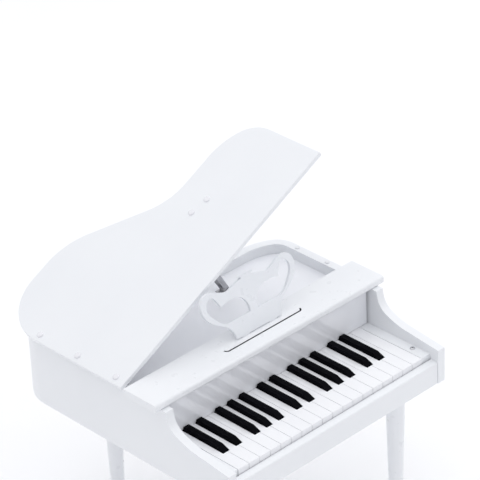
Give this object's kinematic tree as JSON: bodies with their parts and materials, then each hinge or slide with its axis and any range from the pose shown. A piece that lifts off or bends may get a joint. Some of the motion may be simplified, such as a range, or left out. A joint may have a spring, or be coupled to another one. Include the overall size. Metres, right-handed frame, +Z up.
{
  "type": "child-size grand piano",
  "caption": "Child-size grand piano on turned legs, with hinged keys striking chime rods, a lid on a folding stay and a lift-out music rack.",
  "frame": {"origin": "on the floor, under the middle of the piano's bounding box, lid open", "axes": "+Z up, +X towards the treble end, +Y from the player towards the tail"},
  "size_m": [0.503, 0.509, 0.6056],
  "materials": {
    "case_white": "smooth satin paint",
    "rack_white": "smooth satin paint",
    "leg_white": "smooth satin paint",
    "raw_wood": "sanded, unpainted",
    "key_white": "satin lacquer",
    "key_black": "gloss lacquer",
    "plate_white": "satin",
    "pad_rubber": "matt",
    "hinge_steel": "zinc plated",
    "bolt_white": "gloss",
    "stay_steel": "zinc plated",
    "rod_steel": "bright",
    "chime_steel": "bright",
    "tone_iron": "matt",
    "felt": "felt",
    "screw_steel": "bright"
  },
  "bodies": {
    "case": {"bottom_board": "case_white", "left_side": "case_white", "right_side": "case_white", "curved_rim": "case_white", "key_slip": "case_white", "fallboard": "case_white", "front_board": "case_white", "key_blocks": "case_white", "soundboard": "case_white", "support_battens": "raw_wood", "action_rails": "raw_wood", "front_left_leg": "leg_white", "front_right_leg": "leg_white", "rear_leg": "leg_white", "leg_plates": "plate_white", "foot_pads": "pad_rubber", "hinge_case_leaf": "hinge_steel", "stay_base_bracket": "stay_steel", "key_pivot_rod": "rod_steel", "chime_rods": "chime_steel", "tone_block": "tone_iron", "felts": "felt", "case_screws": "screw_steel"},
    "lid_group": {"lid": "case_white", "hinge_lid_leaf": "hinge_steel", "lid_bolts": "bolt_white", "stay_lid_bracket": "stay_steel"},
    "stay_lower": {"stay_lower_arm": "stay_steel"},
    "stay_upper": {"stay_upper_arm": "stay_steel"},
    "rack": {"music_rack": "rack_white"},
    "key_01_c_lever": {"key_01_c": "key_white"},
    "key_02_c_sharp_lever": {"key_02_c_sharp": "key_black"},
    "key_03_d_lever": {"key_03_d": "key_white"},
    "key_04_d_sharp_lever": {"key_04_d_sharp": "key_black"},
    "key_05_e_lever": {"key_05_e": "key_white"},
    "key_06_f_lever": {"key_06_f": "key_white"},
    "key_07_f_sharp_lever": {"key_07_f_sharp": "key_black"},
    "key_08_g_lever": {"key_08_g": "key_white"},
    "key_09_g_sharp_lever": {"key_09_g_sharp": "key_black"},
    "key_10_a_lever": {"key_10_a": "key_white"},
    "key_11_a_sharp_lever": {"key_11_a_sharp": "key_black"},
    "key_12_b_lever": {"key_12_b": "key_white"},
    "key_13_c_lever": {"key_13_c": "key_white"},
    "key_14_c_sharp_lever": {"key_14_c_sharp": "key_black"},
    "key_15_d_lever": {"key_15_d": "key_white"},
    "key_16_d_sharp_lever": {"key_16_d_sharp": "key_black"},
    "key_17_e_lever": {"key_17_e": "key_white"},
    "key_18_f_lever": {"key_18_f": "key_white"},
    "key_19_f_sharp_lever": {"key_19_f_sharp": "key_black"},
    "key_20_g_lever": {"key_20_g": "key_white"},
    "key_21_g_sharp_lever": {"key_21_g_sharp": "key_black"},
    "key_22_a_lever": {"key_22_a": "key_white"},
    "key_23_a_sharp_lever": {"key_23_a_sharp": "key_black"},
    "key_24_b_lever": {"key_24_b": "key_white"},
    "key_25_c_lever": {"key_25_c": "key_white"},
    "key_26_c_sharp_lever": {"key_26_c_sharp": "key_black"},
    "key_27_d_lever": {"key_27_d": "key_white"},
    "key_28_d_sharp_lever": {"key_28_d_sharp": "key_black"},
    "key_29_e_lever": {"key_29_e": "key_white"},
    "key_30_f_lever": {"key_30_f": "key_white"}
  },
  "joints": [
    {"name": "lid_hinge", "type": "hinge", "parent": "case", "child": "lid_group", "pos_m": [-0.2409, 0.0692, 0.3756], "axis": [0, -1, 0], "range_deg": [-27, 0]},
    {"name": "stay_lower_pivot", "type": "hinge", "parent": "case", "child": "stay_lower", "pos_m": [0.076, 0.0856, 0.3636], "axis": [0, -1, 0], "range_deg": [0, 57.83]},
    {"name": "stay_upper_pivot", "type": "hinge", "parent": "lid_group", "child": "stay_upper", "pos_m": [0.03975, 0.0856, 0.50962], "axis": [0, -1, 0], "range_deg": [-57.27, 0]},
    {"name": "rack_lift", "type": "slide", "parent": "case", "child": "rack", "axis": [0, 0.3173, 0.9483], "range_m": [0, 0.025]},
    {"name": "key_01_c_press", "type": "hinge", "parent": "case", "child": "key_01_c_lever", "pos_m": [0, -0.0878, 0.292], "axis": [1, 0, 0], "range_deg": [0, 3], "stiffness_Nm_per_rad": 0.3, "springref_deg": -5.73},
    {"name": "key_02_c_sharp_press", "type": "hinge", "parent": "case", "child": "key_02_c_sharp_lever", "pos_m": [0, -0.0878, 0.292], "axis": [1, 0, 0], "range_deg": [0, 3], "stiffness_Nm_per_rad": 0.3, "springref_deg": -5.73},
    {"name": "key_03_d_press", "type": "hinge", "parent": "case", "child": "key_03_d_lever", "pos_m": [0, -0.0878, 0.292], "axis": [1, 0, 0], "range_deg": [0, 3], "stiffness_Nm_per_rad": 0.3, "springref_deg": -5.73},
    {"name": "key_04_d_sharp_press", "type": "hinge", "parent": "case", "child": "key_04_d_sharp_lever", "pos_m": [0, -0.0878, 0.292], "axis": [1, 0, 0], "range_deg": [0, 3], "stiffness_Nm_per_rad": 0.3, "springref_deg": -5.73},
    {"name": "key_05_e_press", "type": "hinge", "parent": "case", "child": "key_05_e_lever", "pos_m": [0, -0.0878, 0.292], "axis": [1, 0, 0], "range_deg": [0, 3], "stiffness_Nm_per_rad": 0.3, "springref_deg": -5.73},
    {"name": "key_06_f_press", "type": "hinge", "parent": "case", "child": "key_06_f_lever", "pos_m": [0, -0.0878, 0.292], "axis": [1, 0, 0], "range_deg": [0, 3], "stiffness_Nm_per_rad": 0.3, "springref_deg": -5.73},
    {"name": "key_07_f_sharp_press", "type": "hinge", "parent": "case", "child": "key_07_f_sharp_lever", "pos_m": [0, -0.0878, 0.292], "axis": [1, 0, 0], "range_deg": [0, 3], "stiffness_Nm_per_rad": 0.3, "springref_deg": -5.73},
    {"name": "key_08_g_press", "type": "hinge", "parent": "case", "child": "key_08_g_lever", "pos_m": [0, -0.0878, 0.292], "axis": [1, 0, 0], "range_deg": [0, 3], "stiffness_Nm_per_rad": 0.3, "springref_deg": -5.73},
    {"name": "key_09_g_sharp_press", "type": "hinge", "parent": "case", "child": "key_09_g_sharp_lever", "pos_m": [0, -0.0878, 0.292], "axis": [1, 0, 0], "range_deg": [0, 3], "stiffness_Nm_per_rad": 0.3, "springref_deg": -5.73},
    {"name": "key_10_a_press", "type": "hinge", "parent": "case", "child": "key_10_a_lever", "pos_m": [0, -0.0878, 0.292], "axis": [1, 0, 0], "range_deg": [0, 3], "stiffness_Nm_per_rad": 0.3, "springref_deg": -5.73},
    {"name": "key_11_a_sharp_press", "type": "hinge", "parent": "case", "child": "key_11_a_sharp_lever", "pos_m": [0, -0.0878, 0.292], "axis": [1, 0, 0], "range_deg": [0, 3], "stiffness_Nm_per_rad": 0.3, "springref_deg": -5.73},
    {"name": "key_12_b_press", "type": "hinge", "parent": "case", "child": "key_12_b_lever", "pos_m": [0, -0.0878, 0.292], "axis": [1, 0, 0], "range_deg": [0, 3], "stiffness_Nm_per_rad": 0.3, "springref_deg": -5.73},
    {"name": "key_13_c_press", "type": "hinge", "parent": "case", "child": "key_13_c_lever", "pos_m": [0, -0.0878, 0.292], "axis": [1, 0, 0], "range_deg": [0, 3], "stiffness_Nm_per_rad": 0.3, "springref_deg": -5.73},
    {"name": "key_14_c_sharp_press", "type": "hinge", "parent": "case", "child": "key_14_c_sharp_lever", "pos_m": [0, -0.0878, 0.292], "axis": [1, 0, 0], "range_deg": [0, 3], "stiffness_Nm_per_rad": 0.3, "springref_deg": -5.73},
    {"name": "key_15_d_press", "type": "hinge", "parent": "case", "child": "key_15_d_lever", "pos_m": [0, -0.0878, 0.292], "axis": [1, 0, 0], "range_deg": [0, 3], "stiffness_Nm_per_rad": 0.3, "springref_deg": -5.73},
    {"name": "key_16_d_sharp_press", "type": "hinge", "parent": "case", "child": "key_16_d_sharp_lever", "pos_m": [0, -0.0878, 0.292], "axis": [1, 0, 0], "range_deg": [0, 3], "stiffness_Nm_per_rad": 0.3, "springref_deg": -5.73},
    {"name": "key_17_e_press", "type": "hinge", "parent": "case", "child": "key_17_e_lever", "pos_m": [0, -0.0878, 0.292], "axis": [1, 0, 0], "range_deg": [0, 3], "stiffness_Nm_per_rad": 0.3, "springref_deg": -5.73},
    {"name": "key_18_f_press", "type": "hinge", "parent": "case", "child": "key_18_f_lever", "pos_m": [0, -0.0878, 0.292], "axis": [1, 0, 0], "range_deg": [0, 3], "stiffness_Nm_per_rad": 0.3, "springref_deg": -5.73},
    {"name": "key_19_f_sharp_press", "type": "hinge", "parent": "case", "child": "key_19_f_sharp_lever", "pos_m": [0, -0.0878, 0.292], "axis": [1, 0, 0], "range_deg": [0, 3], "stiffness_Nm_per_rad": 0.3, "springref_deg": -5.73},
    {"name": "key_20_g_press", "type": "hinge", "parent": "case", "child": "key_20_g_lever", "pos_m": [0, -0.0878, 0.292], "axis": [1, 0, 0], "range_deg": [0, 3], "stiffness_Nm_per_rad": 0.3, "springref_deg": -5.73},
    {"name": "key_21_g_sharp_press", "type": "hinge", "parent": "case", "child": "key_21_g_sharp_lever", "pos_m": [0, -0.0878, 0.292], "axis": [1, 0, 0], "range_deg": [0, 3], "stiffness_Nm_per_rad": 0.3, "springref_deg": -5.73},
    {"name": "key_22_a_press", "type": "hinge", "parent": "case", "child": "key_22_a_lever", "pos_m": [0, -0.0878, 0.292], "axis": [1, 0, 0], "range_deg": [0, 3], "stiffness_Nm_per_rad": 0.3, "springref_deg": -5.73},
    {"name": "key_23_a_sharp_press", "type": "hinge", "parent": "case", "child": "key_23_a_sharp_lever", "pos_m": [0, -0.0878, 0.292], "axis": [1, 0, 0], "range_deg": [0, 3], "stiffness_Nm_per_rad": 0.3, "springref_deg": -5.73},
    {"name": "key_24_b_press", "type": "hinge", "parent": "case", "child": "key_24_b_lever", "pos_m": [0, -0.0878, 0.292], "axis": [1, 0, 0], "range_deg": [0, 3], "stiffness_Nm_per_rad": 0.3, "springref_deg": -5.73},
    {"name": "key_25_c_press", "type": "hinge", "parent": "case", "child": "key_25_c_lever", "pos_m": [0, -0.0878, 0.292], "axis": [1, 0, 0], "range_deg": [0, 3], "stiffness_Nm_per_rad": 0.3, "springref_deg": -5.73},
    {"name": "key_26_c_sharp_press", "type": "hinge", "parent": "case", "child": "key_26_c_sharp_lever", "pos_m": [0, -0.0878, 0.292], "axis": [1, 0, 0], "range_deg": [0, 3], "stiffness_Nm_per_rad": 0.3, "springref_deg": -5.73},
    {"name": "key_27_d_press", "type": "hinge", "parent": "case", "child": "key_27_d_lever", "pos_m": [0, -0.0878, 0.292], "axis": [1, 0, 0], "range_deg": [0, 3], "stiffness_Nm_per_rad": 0.3, "springref_deg": -5.73},
    {"name": "key_28_d_sharp_press", "type": "hinge", "parent": "case", "child": "key_28_d_sharp_lever", "pos_m": [0, -0.0878, 0.292], "axis": [1, 0, 0], "range_deg": [0, 3], "stiffness_Nm_per_rad": 0.3, "springref_deg": -5.73},
    {"name": "key_29_e_press", "type": "hinge", "parent": "case", "child": "key_29_e_lever", "pos_m": [0, -0.0878, 0.292], "axis": [1, 0, 0], "range_deg": [0, 3], "stiffness_Nm_per_rad": 0.3, "springref_deg": -5.73},
    {"name": "key_30_f_press", "type": "hinge", "parent": "case", "child": "key_30_f_lever", "pos_m": [0, -0.0878, 0.292], "axis": [1, 0, 0], "range_deg": [0, 3], "stiffness_Nm_per_rad": 0.3, "springref_deg": -5.73}
  ],
  "couplings": [
    {"joint": "stay_lower_pivot", "follows": "lid_hinge", "ratio": -2.1309},
    {"joint": "stay_upper_pivot", "follows": "lid_hinge", "ratio": 2.11}
  ]
}
